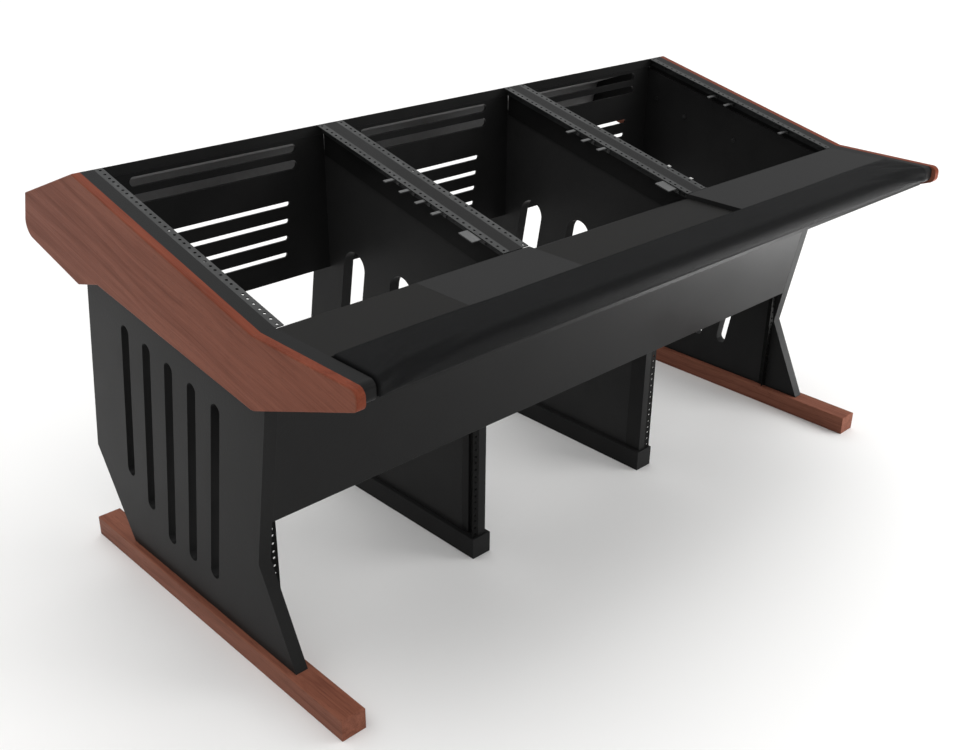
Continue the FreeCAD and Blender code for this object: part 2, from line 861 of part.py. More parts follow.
def make_back_panel(label, x0, x1, centre):
    """Slotted back panel of one bay: two wide slots over four narrow ones."""
    face = cover_foot_y()
    rear = face + D["back_board"]
    outline = [
        (face, D["back_foot"]),
        (rear, D["back_foot"]),
        (rear, cover_under(rear)),
        (face, cover_under(face)),
    ]
    body = make_board(label, x0, x1, outline)
    sketch = new_sketch(body, "XZ_Plane")
    middle = dim(centre) - x0
    rows = list(WIDE_SLOTS)
    height, half, radius = NARROW_SLOT
    for step in range(4):
        rows.append((height - NARROW_STEP * step, half - NARROW_TAPER * step, radius))
    for height, half, radius in rows:
        reach = half - radius
        slot(sketch, (middle - reach, height), (middle + reach, height), radius)
    pocket(body, sketch)


def make_deck():
    """Deck board, its four cover strips and the armrest on its front."""
    make_board("deck_board", -FRAME_IN, FRAME_IN,
               block(D["deck_front_y"], DECK_REAR, DECK_UNDER, DECK_TOP))
    cap = D["bay_width"] * 0.5
    plate = D["bay_width"] * 0.5 + 259.0
    strips = (
        ("deck_strip_left", -FRAME_IN, -plate, D["deck_z"] - 1.0),
        ("deck_plate_left", -plate, -cap, D["deck_z"] - 1.0),
        ("deck_strip_middle", -cap, cap, D["deck_z"] - 9.0),
        ("deck_strip_right", cap, FRAME_IN, D["deck_z"]),
    )
    for label, x0, x1, top in strips:
        body = make_board(label, x0, x1, block(D["pad_back_y"], D["kink_y"], DECK_TOP, top))
        height = top.value

        def rim(edge):
            box = edge.BoundBox
            return box.ZMin > height - 0.01 and box.XLength > 1.0
        round_edges(body, 0.8, rim)


def make_armrest():
    """Armrest: a core board screwed to the deck, and the padded roll around it."""
    core_top = DECK_TOP + 12.0
    end = FRAME_IN - 1.0
    front = D["deck_front_y"]
    make_board("armrest_core", -end, end, block(front, D["pad_back_y"], DECK_TOP, core_top))
    gap = 0.3
    back = D["pad_back_y"] - gap
    roll = front - 14.5
    outline = [
        (back, core_top + gap),
        (back, D["deck_z"] + 5.0),
        (roll, D["deck_z"] + 6.0),
        (roll, D["deck_z"] - 30.0),
        (front - gap, D["deck_z"] - 30.0),
        (front - gap, core_top + gap),
    ]
    body = make_board("armrest_pad", -end, end, outline)
    for index, radius in ((1, 5.0), (2, 16.0), (3, 9.0)):
        round_edges(body, radius, at_corner(*outline[index]))


# ---------------------------------------------------------------- the whole desk

def build():
    """Make every piece of the desk."""
    for name, side in (("left", -1), ("right", 1)):
        make_cheek("cheek_" + name, side)
        make_frame("side_frame_" + name, side)
        make_leg("leg_panel_" + name, side)
        make_foot("foot_" + name, side)
        make_foot_bolts("foot_bolts_" + name, side)
        make_top_rail("divider_top_rail_" + name, side)
        make_divider("divider_panel_" + name, side)
        make_stile("divider_stile_" + name, side)
        make_plinth("divider_plinth_" + name, side)
    make_lap_screws()
    half_bay = D["bay_width"] * 0.5
    top_half = D["top_rail_width"] * 0.5
    inner = DIVIDER_X - top_half
    outer = DIVIDER_X + top_half
    rails = (
        ("rack_rail_1_left", -FRAME_IN, 1),
        ("rack_rail_1_right", -outer, -1),
        ("rack_rail_2_left", -inner, 1),
        ("rack_rail_2_right", inner, -1),
        ("rack_rail_3_left", outer, 1),
        ("rack_rail_3_right", FRAME_IN, -1),
    )
    for label, x, side in rails:
        make_upper_rail(label, x, side)
    make_tabs("rail_tabs_1_right", -outer, -1, (164.8, 209.25, 253.7, 298.15), 36.0, 56.5)
    make_tabs("rail_tabs_2_right", inner, -1, (223.5, 267.95, 312.4), 40.0, 28.2)
    make_tabs("rail_tabs_3_left", outer, 1, (45.75, 104.5), 25.0)
    make_tabs("rail_tabs_3_right", FRAME_IN, -1, (116.0, 277.0, 326.0), 36.0, drop=8.0)
    make_rail_screws([(x, side) for label, x, side in rails])
    post = DIVIDER_X + D["rail_reach"] - D["rail_width"]
    make_lower_rail("lower_rail_1_left", -D["leg_inner"], 1)
    make_lower_rail("lower_rail_1_right", -post, -1)
    make_lower_rail("lower_rail_3_left", post, 1)
    make_lower_rail("lower_rail_3_right", D["leg_inner"], -1)
    face_in = DIVIDER_X - D["divider_board"] * 0.5
    face_out = DIVIDER_X + D["divider_board"] * 0.5
    bay_centre = (D["bay_width"] + D["cap_width"])
    make_back_panel("back_panel_left", -D["leg_inner"], -face_out, -bay_centre)
    make_back_panel("back_panel_middle", -face_in, face_in, 0.0)
    make_back_panel("back_panel_right", face_out, D["leg_inner"], bay_centre)
    make_rear_cover()
    make_knee_panel()
    make_deck()
    make_armrest()


def check_and_export():
    """Check every object, then write one STEP file for each piece."""
    DOC.recompute()
    for item in DOC.Objects:
        state = [s for s in item.State if s in ("Invalid", "Error")]
        if state:
            raise RuntimeError("%s is %s" % (item.Label, state))
    os.makedirs("parts", exist_ok=True)
    for node in NODES:
        shape = node.Shape
        if shape.isNull() or not shape.isValid() or not shape.Solids:
            raise RuntimeError(node.Label + " has no valid shape")
        shape.exportStep("parts/%s.step" % node.Label)
        box = shape.BoundBox
        print("%-26s solids %2d  volume %11.0f  X %.1f..%.1f Y %.1f..%.1f Z %.1f..%.1f" % (
            node.Label, len(shape.Solids), shape.Volume, box.XMin, box.XMax,
            box.YMin, box.YMax, box.ZMin, box.ZMax))


build()
check_and_export()
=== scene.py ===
# %% [markdown]
# # Finishing a three-bay console desk
# The desk is a set of black boards, steel rack rails, wood cheeks and feet, and a padded
# armrest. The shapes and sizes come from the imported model. This file gives each piece its
# surface, rounds the board edges as a joiner would, upholsters the armrest, and sets up
# a floor, soft light and a camera.

import json
import math

import bpy
from mathutils import Matrix, Vector

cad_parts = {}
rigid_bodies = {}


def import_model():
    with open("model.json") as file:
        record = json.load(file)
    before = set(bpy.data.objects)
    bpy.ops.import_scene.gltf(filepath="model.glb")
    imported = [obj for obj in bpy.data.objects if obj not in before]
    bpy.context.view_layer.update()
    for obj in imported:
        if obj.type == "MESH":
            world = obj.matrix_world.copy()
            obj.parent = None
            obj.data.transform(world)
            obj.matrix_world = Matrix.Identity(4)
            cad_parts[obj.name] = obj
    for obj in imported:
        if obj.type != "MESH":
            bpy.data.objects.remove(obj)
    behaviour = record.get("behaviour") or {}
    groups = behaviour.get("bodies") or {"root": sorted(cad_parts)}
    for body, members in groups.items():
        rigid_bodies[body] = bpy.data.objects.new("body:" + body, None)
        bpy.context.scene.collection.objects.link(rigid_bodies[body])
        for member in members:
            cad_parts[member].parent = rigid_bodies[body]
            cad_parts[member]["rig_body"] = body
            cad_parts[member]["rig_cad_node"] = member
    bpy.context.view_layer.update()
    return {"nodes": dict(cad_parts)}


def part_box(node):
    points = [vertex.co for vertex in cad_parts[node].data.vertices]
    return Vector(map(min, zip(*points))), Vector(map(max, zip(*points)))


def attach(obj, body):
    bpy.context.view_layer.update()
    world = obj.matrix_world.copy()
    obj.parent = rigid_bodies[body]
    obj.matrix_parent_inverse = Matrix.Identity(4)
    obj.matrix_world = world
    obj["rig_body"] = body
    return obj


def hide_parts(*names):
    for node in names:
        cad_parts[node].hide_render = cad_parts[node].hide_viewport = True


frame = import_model()
nodes = frame["nodes"]

# %% [markdown]
# ## Working by hand, in code
# Most operators act on whatever is selected, and the import leaves every CAD node selected.
# So each piece starts with nothing selected, and these helpers pick one object or one set
# of faces by where they are or which way they look.

# %% Selection helpers
MM = 0.001


def deselect():
    """Leaves object mode with nothing selected."""
    if bpy.context.object and bpy.context.object.mode != "OBJECT":
        bpy.ops.object.mode_set(mode="OBJECT")
    bpy.ops.object.select_all(action="DESELECT")


def pick(piece):
    """Makes one piece the active and only selected object."""
    deselect()
    piece.select_set(True)
    bpy.context.view_layer.objects.active = piece
    return piece


def settle(piece):
    """Puts a piece's place into its mesh, so its object sits at the origin."""
    pick(piece)
    bpy.ops.object.transform_apply(location=True, rotation=True, scale=True)
    return piece


def add_modifier(piece, kind, **settings):
    """Adds a modifier, sets it up and applies it."""
    pick(piece)
    made = piece.modifiers.new(kind.title(), kind)
    for name, value in settings.items():
        setattr(made, name, value)
    bpy.ops.object.modifier_apply(modifier=made.name)
    return piece


# %% [markdown]
# ## The camera
# The desk is seen from the operator's left, a little above eye level of a seated person.
# A lens near 43 mm keeps the long front from stretching. The camera leans by less than
# a degree, as a hand-held one would.

# %% Camera
CAMERA_PLACE = (-1.603, -1.5685, 1.351)
CAMERA_HEADING = math.radians(-43.97)
CAMERA_PITCH = math.radians(-26.07)
CAMERA_ROLL = math.radians(0.69)
LENS_MM = 43.24
SENSOR_MM = 36.0
FAR_CLIP = 60.0


def camera_turn(heading, pitch, roll):
    """Rotation of a camera that looks along a heading, tipped by pitch, then rolled."""
    forward = Vector((
        -math.sin(heading) * math.cos(pitch),
        math.cos(heading) * math.cos(pitch),
        math.sin(pitch),
    ))
    right = Vector((math.cos(heading), math.sin(heading), 0))
    up = right.cross(forward)
    rolled_right = right * math.cos(roll) + up * math.sin(roll)
    rolled_up = up * math.cos(roll) - right * math.sin(roll)
    return Matrix((rolled_right, rolled_up, -forward)).transposed()


deselect()
bpy.ops.object.camera_add(location=CAMERA_PLACE)
camera = bpy.context.object
camera.name = "camera"
camera.rotation_euler = camera_turn(CAMERA_HEADING, CAMERA_PITCH, CAMERA_ROLL).to_euler()
camera.data.lens = LENS_MM
camera.data.sensor_width = SENSOR_MM
camera.data.clip_end = FAR_CLIP
bpy.context.scene.camera = camera
print("camera at", tuple(round(v, 2) for v in camera.location))

# %% [markdown]
# ## Floor and light
# A black desk shows mostly what it reflects, so the light comes from large soft sources:
# a room that grows from grey at the floor to white overhead, a very wide sun above, a
# panel at the operator's right, and a low one in front that brightens the far end of the
# front board. Behind the desk the room shows as a plain pale sheet, like the floor.

# %% Floor
FLOOR_SIZE = 28.0
FLOOR_DROP = 0.5 * MM
FLOOR_COLOUR = (0.93, 0.925, 0.915, 1)
bpy.ops.mesh.primitive_plane_add(size=FLOOR_SIZE, location=(0, 0, -FLOOR_DROP))
floor = bpy.context.object
floor.name = "floor"
settle(floor)

floor_paint = bpy.data.materials.new("pale floor")
floor_paint.use_nodes = True
floor_shader = floor_paint.node_tree.nodes["Principled BSDF"]
floor_shader.inputs["Base Color"].default_value = FLOOR_COLOUR
floor_shader.inputs["Roughness"].default_value = 0.75
floor_shader.inputs["Specular IOR Level"].default_value = 0.2
floor.data.materials.append(floor_paint)
print("floor metres across:", FLOOR_SIZE)

# %% Room
ROOM_LOW = (0.24, 0.243, 0.246, 1)
ROOM_HIGH = (1.0, 1.0, 1.0, 1)
ROOM_HIGH_AT = 0.95
ROOM_STRENGTH = 0.85
BACKDROP = (1.18, 1.18, 1.17, 1)
COLOUR_A, COLOUR_B, COLOUR_OUT = 6, 7, 2


def pale_room():
    """A room from grey low down to white overhead, with a plain backdrop for the camera."""
    world = bpy.data.worlds.new("pale room")
    world.use_nodes = True
    tree = world.node_tree
    room = tree.nodes["Background"]
    room.inputs["Strength"].default_value = ROOM_STRENGTH
    heading = tree.nodes.new("ShaderNodeTexCoord").outputs["Generated"]
    split = tree.nodes.new("ShaderNodeSeparateXYZ")
    tint = tree.nodes.new("ShaderNodeValToRGB")
    bottom, top = tint.color_ramp.elements
    bottom.color, top.color = ROOM_LOW, ROOM_HIGH
    top.position = ROOM_HIGH_AT
    seen = tree.nodes.new("ShaderNodeLightPath").outputs["Is Camera Ray"]
    backdrop = tree.nodes.new("ShaderNodeMix")
    backdrop.data_type = "RGBA"
    backdrop.inputs[COLOUR_B].default_value = BACKDROP
    tree.links.new(heading, split.inputs["Vector"])
    tree.links.new(split.outputs["Z"], tint.inputs["Fac"])
    tree.links.new(seen, backdrop.inputs["Factor"])
    tree.links.new(tint.outputs["Color"], backdrop.inputs[COLOUR_A])
    tree.links.new(backdrop.outputs[COLOUR_OUT], room.inputs["Color"])
    return world


bpy.context.scene.view_settings.view_transform = "Standard"
bpy.context.scene.world = pale_room()
print("room:", bpy.context.scene.world.name)

# %% Lamps
LAMP_HEIGHT = 3.0


def soft_sun(name, toward, strength, spread):
    """A lamp as wide as a bright overcast patch of sky, the same over the whole floor."""
    bpy.ops.object.light_add(type="SUN", location=(0, 0, LAMP_HEIGHT))
    lamp = bpy.context.object
    lamp.name = name
    lamp.data.energy = strength
    lamp.data.angle = math.radians(spread)
    lamp.rotation_euler = Vector(toward).to_track_quat("-Z", "Y").to_euler()
    return lamp


def soft_panel(name, place, target, width, depth, watts, spread=180):
    """A large rectangular lamp that faces a target point, with its beam held in by a grid."""
    bpy.ops.object.light_add(type="AREA", location=place)
    lamp = bpy.context.object
    lamp.name = name
    lamp.data.shape = "RECTANGLE"
    lamp.data.size, lamp.data.size_y = width, depth
    lamp.data.energy = watts
    lamp.data.spread = math.radians(spread)
    lamp.visible_camera = False
    aim = Vector(target) - Vector(place)
    lamp.rotation_euler = aim.to_track_quat("-Z", "Y").to_euler()
    return lamp


soft_sun("overhead_light", toward=(-0.12, -0.18, -1.0), strength=1.58, spread=94)
soft_panel("right_panel", place=(2.4, -2.6, 1.8), target=(1.7, -0.7, 0.0),
           width=2.0, depth=1.6, watts=45)
soft_panel("low_front_panel", place=(1.15, -0.95, 0.03), target=(0.60, -0.36, 0.50),
           width=0.9, depth=0.4, watts=7.0, spread=90)

# %% [markdown]
# ## Shader building blocks
# Materials here share a few effects: the fine orange-peel of sprayed lacquer, wood grain,
# leather-like vinyl grain, and the faint cloudiness of handled surfaces. Each is a node
# group with named inputs, so a material only says how coarse and how strong it is.

# %% Node helpers
def new_group(name, inputs, outputs):
    """An empty shader group. Inputs are (name, socket type, default)."""
    tree = bpy.data.node_groups.new(name, "ShaderNodeTree")
    for label, kind, default in inputs:
        socket = tree.interface.new_socket(label, in_out="INPUT", socket_type=kind)
        if default is not None:
            socket.default_value = default
    for label, kind in outputs:
        tree.interface.new_socket(label, in_out="OUTPUT", socket_type=kind)
    return tree, tree.nodes.new("NodeGroupInput"), tree.nodes.new("NodeGroupOutput")


def node(tree, kind, links=None, **settings):
    """Adds a node, sets its properties and plain sockets, and links the others."""
    made = tree.nodes.new(kind)
    for name, value in settings.items():
        setattr(made, name, value)
    for name, value in (links or {}).items():
        socket = made.inputs[name]
        if isinstance(value, bpy.types.NodeSocket):
            tree.links.new(value, socket)
        else:
            socket.default_value = value
    return made


def math_node(tree, operation, first, second=0.0, clamp=False):
    """One sum on values, and its result."""
    made = node(tree, "ShaderNodeMath", {0: first, 1: second}, operation=operation)
    made.use_clamp = clamp
    return made.outputs[0]


def weigh(tree, first, second, share, clamp=False):
    """Two values added: the first takes the share given, the second takes the rest."""
    return math_node(tree, "ADD", math_node(tree, "MULTIPLY", first, share),
                     math_node(tree, "MULTIPLY", second, 1.0 - share), clamp)


def mix_colours(tree, factor, first, second, how="MIX"):
    """One colour laid over another."""
    return node(tree, "ShaderNodeMix", {"Factor": factor, COLOUR_A: first, COLOUR_B: second},
                data_type="RGBA", blend_type=how).outputs[COLOUR_OUT]


def noise(tree, vector, scale, detail=2.0, roughness=0.5, distortion=0.0):
    """Fractal noise as a value about 0.5."""
    links = {"Vector": vector, "Scale": scale, "Detail": detail,
             "Roughness": roughness, "Distortion": distortion}
    return node(tree, "ShaderNodeTexNoise", links).outputs["Fac"]


def stretch(tree, vector, by_axis):
    """The same coordinates, scaled by axis."""
    return node(tree, "ShaderNodeVectorMath", {0: vector, 1: by_axis},
                operation="MULTIPLY").outputs[0]


def ramp(tree, value, stops):
    """Colour along a value. Stops are (place, (r, g, b))."""
    made = node(tree, "ShaderNodeValToRGB", {"Fac": value})
    band = made.color_ramp
    while len(band.elements) < len(stops):
        band.elements.new(0.5)
    for element, (place, colour) in zip(band.elements, stops):
        element.position = place
        element.color = (*colour, 1)
    return made.outputs["Color"]


def remap(tree, value, low, high, to_low=0.0, to_high=1.0):
    """Moves a value from one range to another, without going past either end."""
    return node(tree, "ShaderNodeMapRange",
                {"Value": value, "From Min": low, "From Max": high,
                 "To Min": to_low, "To Max": to_high}).outputs["Result"]


# %% [markdown]
# ### Sprayed lacquer
# Textured lacquer on board dries into tiny rounded bumps about a millimetre apart. Two
# noises of different size give the bumps, and a third, much larger, makes the sheen
# drift a little from place to place as it does on a sprayed panel. The tops of the finer
# bumps are also painted paler, which is a painted highlight.

# %% Group: lacquer texture
COARSE_PER_FINE = 0.35
CLOUDS_PER_METRE = 5.5

lacquer, g_in, g_out = new_group(
    "lacquer texture",
    [("Vector", "NodeSocketVector", None), ("Bumps per metre", "NodeSocketFloat", 900.0)],
    [("Height", "NodeSocketFloat"), ("Cloud", "NodeSocketFloat"), ("Painted highlight", "NodeSocketFloat")],
)
place, size = g_in.outputs["Vector"], g_in.outputs["Bumps per metre"]
coarse = noise(lacquer, place, math_node(lacquer, "MULTIPLY", size, COARSE_PER_FINE), 3.0, 0.6)
fine = noise(lacquer, place, size, 2.0, 0.55)
cloud = noise(lacquer, place, CLOUDS_PER_METRE, 4.0, 0.55, 0.6)
lacquer.links.new(weigh(lacquer, coarse, fine, 0.45), g_out.inputs["Height"])
lacquer.links.new(remap(lacquer, cloud, 0.3, 0.7), g_out.inputs["Cloud"])
# The tops of the fine bumps come out paler in tone: a painted highlight.
lacquer.links.new(remap(lacquer, fine, 0.56, 0.72), g_out.inputs["Painted highlight"])

# %% [markdown]
# ### Wood grain
# The cheeks and feet are a dark red-brown hardwood. Grain is a stretched pattern: long
# slow bands where the board was sawn, finer fibre lines inside them, and short dark
# pores. Stretching the coordinates along the board before each noise does all three.

# %% Group: wood grain
DRIFT_STRETCH = (3.0, 1.3, 6.0)
BAND_STRETCH = (60.0, 2.2, 60.0)
FIBRE_STRETCH = (420.0, 9.0, 420.0)
PORE_STRETCH = (900.0, 38.0, 900.0)
DRIFT_SHIFT = 5.0

grain, g_in, g_out = new_group(
    "wood grain",
    [("Vector", "NodeSocketVector", None)],
    [("Band", "NodeSocketFloat"), ("Fibre", "NodeSocketFloat"), ("Pore", "NodeSocketFloat")],
)
along = g_in.outputs["Vector"]
drift = noise(grain, stretch(grain, along, DRIFT_STRETCH), 1.0, 3.0, 0.5, 0.4)
shifted = node(grain, "ShaderNodeVectorMath", {
    0: stretch(grain, along, BAND_STRETCH),
    1: node(grain, "ShaderNodeCombineXYZ", {
        "Z": math_node(grain, "MULTIPLY", drift, DRIFT_SHIFT)}).outputs[0],
}, operation="ADD").outputs[0]
bands = noise(grain, shifted, 1.0, 3.0, 0.55, 0.5)
fibres = noise(grain, stretch(grain, along, FIBRE_STRETCH), 1.0, 3.0, 0.65)
pores = noise(grain, stretch(grain, along, PORE_STRETCH), 1.0, 1.0, 0.5)
grain.links.new(remap(grain, bands, 0.32, 0.68), g_out.inputs["Band"])
grain.links.new(remap(grain, fibres, 0.3, 0.7), g_out.inputs["Fibre"])
grain.links.new(remap(grain, pores, 0.62, 0.7), g_out.inputs["Pore"])

# %% [markdown]
# ### Vinyl grain
# Upholstery vinyl is embossed with small irregular cells. A Voronoi pattern gives the
# creases between the cells, and a noise under it keeps the sheet from looking printed.

# %% Group: vinyl grain
WOBBLES_PER_METRE = 260.0
WOBBLE_WIDTH = 1.6 * MM
CREASE_SHARE = 0.16
PEBBLES_PER_CELL = 1.7

hide, g_in, g_out = new_group(
    "vinyl grain",
    [("Vector", "NodeSocketVector", None), ("Cells per metre", "NodeSocketFloat", 700.0)],
    [("Height", "NodeSocketFloat"), ("Crease", "NodeSocketFloat"), ("Cloud", "NodeSocketFloat")],
)
place, size = g_in.outputs["Vector"], g_in.outputs["Cells per metre"]
warp = node(hide, "ShaderNodeTexNoise", {"Vector": place, "Scale": WOBBLES_PER_METRE,
                                        "Detail": 1.0})
wobble = stretch(hide, warp.outputs["Color"], (WOBBLE_WIDTH,) * 3)
warped = node(hide, "ShaderNodeVectorMath", {0: place, 1: wobble}, operation="ADD").outputs[0]
cells = node(hide, "ShaderNodeTexVoronoi", {"Vector": warped, "Scale": size},
             feature="DISTANCE_TO_EDGE").outputs["Distance"]
crease = remap(hide, cells, 0.0, CREASE_SHARE)
pebble = noise(hide, place, math_node(hide, "MULTIPLY", size, PEBBLES_PER_CELL), 2.0)
hide.links.new(weigh(hide, crease, pebble, 0.8), g_out.inputs["Height"])
hide.links.new(crease, g_out.inputs["Crease"])
hide.links.new(remap(hide, noise(hide, place, 7.0, 3.0), 0.3, 0.7), g_out.inputs["Cloud"])
print("groups:", [g.name for g in bpy.data.node_groups])

# %% [markdown]
# ## The finishes
# Every finish starts from a Principled shader that reads object coordinates. The pieces
# all sit at the origin, so one board's pattern runs on into the next without repeating.

# %% Start a material
def start_material(name, roughness, metallic=0.0, specular=0.5):
    """A material with its shader and the object coordinates."""
    made = bpy.data.materials.new(name)
    made.use_nodes = True
    tree = made.node_tree
    shader = tree.nodes["Principled BSDF"]
    shader.inputs["Roughness"].default_value = roughness
    shader.inputs["Metallic"].default_value = metallic
    shader.inputs["Specular IOR Level"].default_value = specular
    place = tree.nodes.new("ShaderNodeTexCoord").outputs["Object"]
    return made, tree, shader, place


def use_group(tree, group, links):
    """Places a shared group in a material."""
    made = tree.nodes.new("ShaderNodeGroup")
    made.node_tree = group
    for name, value in links.items():
        if isinstance(value, bpy.types.NodeSocket):
            tree.links.new(value, made.inputs[name])
        else:
            made.inputs[name].default_value = value
    return made.outputs


def bump(tree, shader, height, distance, strength=1.0):
    """Feeds a height in metres to the shader's normal."""
    made = node(tree, "ShaderNodeBump", {"Height": height, "Distance": distance,
                                         "Strength": strength})
    tree.links.new(made.outputs["Normal"], shader.inputs["Normal"])


# %% [markdown]
# ### Black lacquered board, and the dark grey deck
# The frames, legs, dividers and back are sprayed black with a fine texture. The boards
# whose top faces show are a shade darker, which is painted shade; the boards inside the
# bays are a shade paler, which is painted light; and the front board is glossier, with a
# darker base that is painted shade too. The strips on the deck are a smoother sheet, one
# a shade lighter than the next. All are one recipe with different tones. The rounded
# edges are slightly smoother.

# %% Lacquer materials
SHEEN_DRIFT = 0.05


def lacquer_finish(name, dark, light, rough, bumps_per_metre, bump_depth, specular=0.5):
    """Textured black lacquer between two tones."""
    made, tree, shader, place = start_material(name, rough, specular=specular)
    out = use_group(tree, lacquer, {"Vector": place, "Bumps per metre": bumps_per_metre})
    # Random cloud mixed with the painted highlight on the bump tops.
    tone = weigh(tree, out["Cloud"], out["Painted highlight"], 0.55, clamp=True)
    tree.links.new(ramp(tree, tone, [(0.0, dark), (1.0, light)]), shader.inputs["Base Color"])
    drifting = remap(tree, out["Cloud"], 0.0, 1.0, rough - SHEEN_DRIFT, rough + SHEEN_DRIFT)
    tree.links.new(drifting, shader.inputs["Roughness"])
    bump(tree, shader, out["Height"], bump_depth)
    return made


BLACK_LACQUER = lacquer_finish("black textured lacquer", (0.0135, 0.0135, 0.0136),
                               (0.0215, 0.0214, 0.0211), 0.36, 520, 0.00026, 0.06)
# Darker base than the other boards: painted shade. The extra gloss is the board's own.
GLOSSY_SHADED_FRONT_LACQUER = lacquer_finish("glossier front board lacquer with painted shade", (0.0062, 0.0062, 0.0063),
                               (0.0100, 0.0100, 0.0099), 0.36, 480, 0.00036, 0.13)
BLACK_EDGE = lacquer_finish("black lacquer edge", (0.0165, 0.0166, 0.0169),
                            (0.0255, 0.0255, 0.0257), 0.34, 1200, 0.00008, 0.10)
# Darker copy for the boards whose tops show: painted shade.
PAINTED_SHADE_TOP_LACQUER = lacquer_finish("black lacquer darkened as painted shade on top boards", (0.0095, 0.0095, 0.0096),
                           (0.0155, 0.0154, 0.0152), 0.38, 900, 0.00022, 0.06)
# Paler copy for the boards inside the bays: painted light.
PAINTED_LIGHT_INNER_LACQUER = lacquer_finish("black lacquer paled as painted light inside the bays", (0.0215, 0.0215, 0.0216),
                             (0.0330, 0.0329, 0.0326), 0.36, 520, 0.00026, 0.06)
DECK_DARK = lacquer_finish("dark deck sheet", (0.0120, 0.0118, 0.0114),
                           (0.0190, 0.0186, 0.0178), 0.5, 1300, 0.00010, 0.05)
DECK_PALE = lacquer_finish("pale deck sheet", (0.0200, 0.0200, 0.0200),
                           (0.0290, 0.0290, 0.0290), 0.48, 1300, 0.00010, 0.05)

# %% [markdown]
# ### The wood
# Grain runs along the board, which on a cheek means down its slope, so a Mapping node
# turns the coordinates by the rack angle. Where the board's edge shows, the grain is cut
# the other way and looks redder: the surface normal picks those faces out.

# %% Wood material
RACK_SLOPE = math.radians(13.3)
GRAIN_DEPTH = 0.1 * MM


def wood_finish(name, tilt, dark, middle, bright, edge_tint):
    """Satin hardwood with its grain along Y, tipped by tilt."""
    made, tree, shader, place = start_material(name, 0.45, specular=0.04)
    turned = node(tree, "ShaderNodeMapping", {"Vector": place, "Rotation": (-tilt, 0, 0)})
    out = use_group(tree, grain, {"Vector": turned.outputs[0]})
    tone = weigh(tree, out["Band"], out["Fibre"], 0.55)
    body = ramp(tree, tone, [(0.12, dark), (0.5, middle), (0.9, bright)])
    facing = node(tree, "ShaderNodeSeparateXYZ", {
        0: node(tree, "ShaderNodeNewGeometry").outputs["Normal"]}).outputs["X"]
    edge = remap(tree, math_node(tree, "ABSOLUTE", facing), 0.95, 0.4)
    tinted = mix_colours(tree, edge, body, (*edge_tint, 1), "MULTIPLY")
    pored = mix_colours(tree, out["Pore"], tinted, (*dark, 1))
    tree.links.new(pored, shader.inputs["Base Color"])
    tree.links.new(remap(tree, tone, 0.1, 0.9, 0.46, 0.34), shader.inputs["Roughness"])
    lines = math_node(tree, "SUBTRACT", math_node(tree, "MULTIPLY", out["Fibre"], 0.5),
                      out["Pore"])
    bump(tree, shader, lines, GRAIN_DEPTH)
    return made


CHEEK_WOOD = wood_finish("cheek hardwood", RACK_SLOPE, (0.142, 0.047, 0.029),
                         (0.191, 0.066, 0.041), (0.234, 0.085, 0.053), (0.86, 0.60, 0.50))
FOOT_WOOD = wood_finish("foot hardwood", 0.0, (0.150, 0.055, 0.036),
                        (0.216, 0.084, 0.054), (0.270, 0.108, 0.070), (1.0, 0.96, 0.94))

# %% [markdown]
# ### Steel
# The rails are powder-coated sheet with faint long scuffs, and the upright ones are darker.
# The screws are blackened, and the foot bolts and the plates on the third left rail are
# bright zinc with fine marks. A pale grey stands in for the light that reaches the faces
# behind the back panels: painted light.

# %% Steel materials
COAT_BUMPS_PER_METRE = 1600.0
COAT_DEPTH = 0.06 * MM
SCUFF_STRETCH = (90.0, 14.0, 90.0)
SCUFF_POLISH = 0.12
MARK_STRETCH = (1500.0, 500.0, 1500.0)
MARK_DEPTH = 0.03 * MM


def coated_steel(name, dark, light, rough, specular=0.25):
    """Powder-coated sheet steel."""
    made, tree, shader, place = start_material(name, rough, specular=specular)
    out = use_group(tree, lacquer, {"Vector": place, "Bumps per metre": COAT_BUMPS_PER_METRE})
    streaks = noise(tree, stretch(tree, place, SCUFF_STRETCH), 1.0, 4.0, 0.7)
    scuff = remap(tree, streaks, 0.5, 0.72)
    tone = weigh(tree, scuff, out["Cloud"], 0.6, clamp=True)
    tree.links.new(ramp(tree, tone, [(0.0, dark), (1.0, light)]), shader.inputs["Base Color"])
    tree.links.new(remap(tree, scuff, 0.0, 1.0, rough, rough - SCUFF_POLISH),
                   shader.inputs["Roughness"])
    bump(tree, shader, out["Height"], COAT_DEPTH)
    return made


def zinc_plate(name):
    """Bright zinc plating with fine marks."""
    made, tree, shader, place = start_material(name, 0.3, metallic=1.0)
    marks = noise(tree, stretch(tree, place, MARK_STRETCH), 1.0, 2.0)
    tree.links.new(ramp(tree, marks, [(0.2, (0.42, 0.42, 0.41)), (0.8, (0.62, 0.62, 0.60))]),
                   shader.inputs["Base Color"])
    tree.links.new(remap(tree, marks, 0.2, 0.8, 0.24, 0.4), shader.inputs["Roughness"])
    bump(tree, shader, marks, MARK_DEPTH)
    return made


RAIL_STEEL = coated_steel("coated rail steel", (0.014, 0.015, 0.015),
                          (0.046, 0.047, 0.047), 0.42)
LOWER_STEEL = coated_steel("dark rail steel", (0.0035, 0.0035, 0.0034),
                           (0.0105, 0.0105, 0.0100), 0.45, 0.04)
# A pale grey standing for the light behind the back panels: painted light.
PAINTED_LIGHT_GREY = coated_steel("pale grey painted light", (0.185, 0.185, 0.185), (0.215, 0.215, 0.215), 0.6, 0.1)
TAB_STEEL = coated_steel("coated tab steel", (0.070, 0.071, 0.071),
                         (0.120, 0.121, 0.121), 0.4)
SCREW_BLACK = coated_steel("blackened screws", (0.012, 0.012, 0.012),
                           (0.030, 0.030, 0.030), 0.35)
ZINC = zinc_plate("zinc plate")

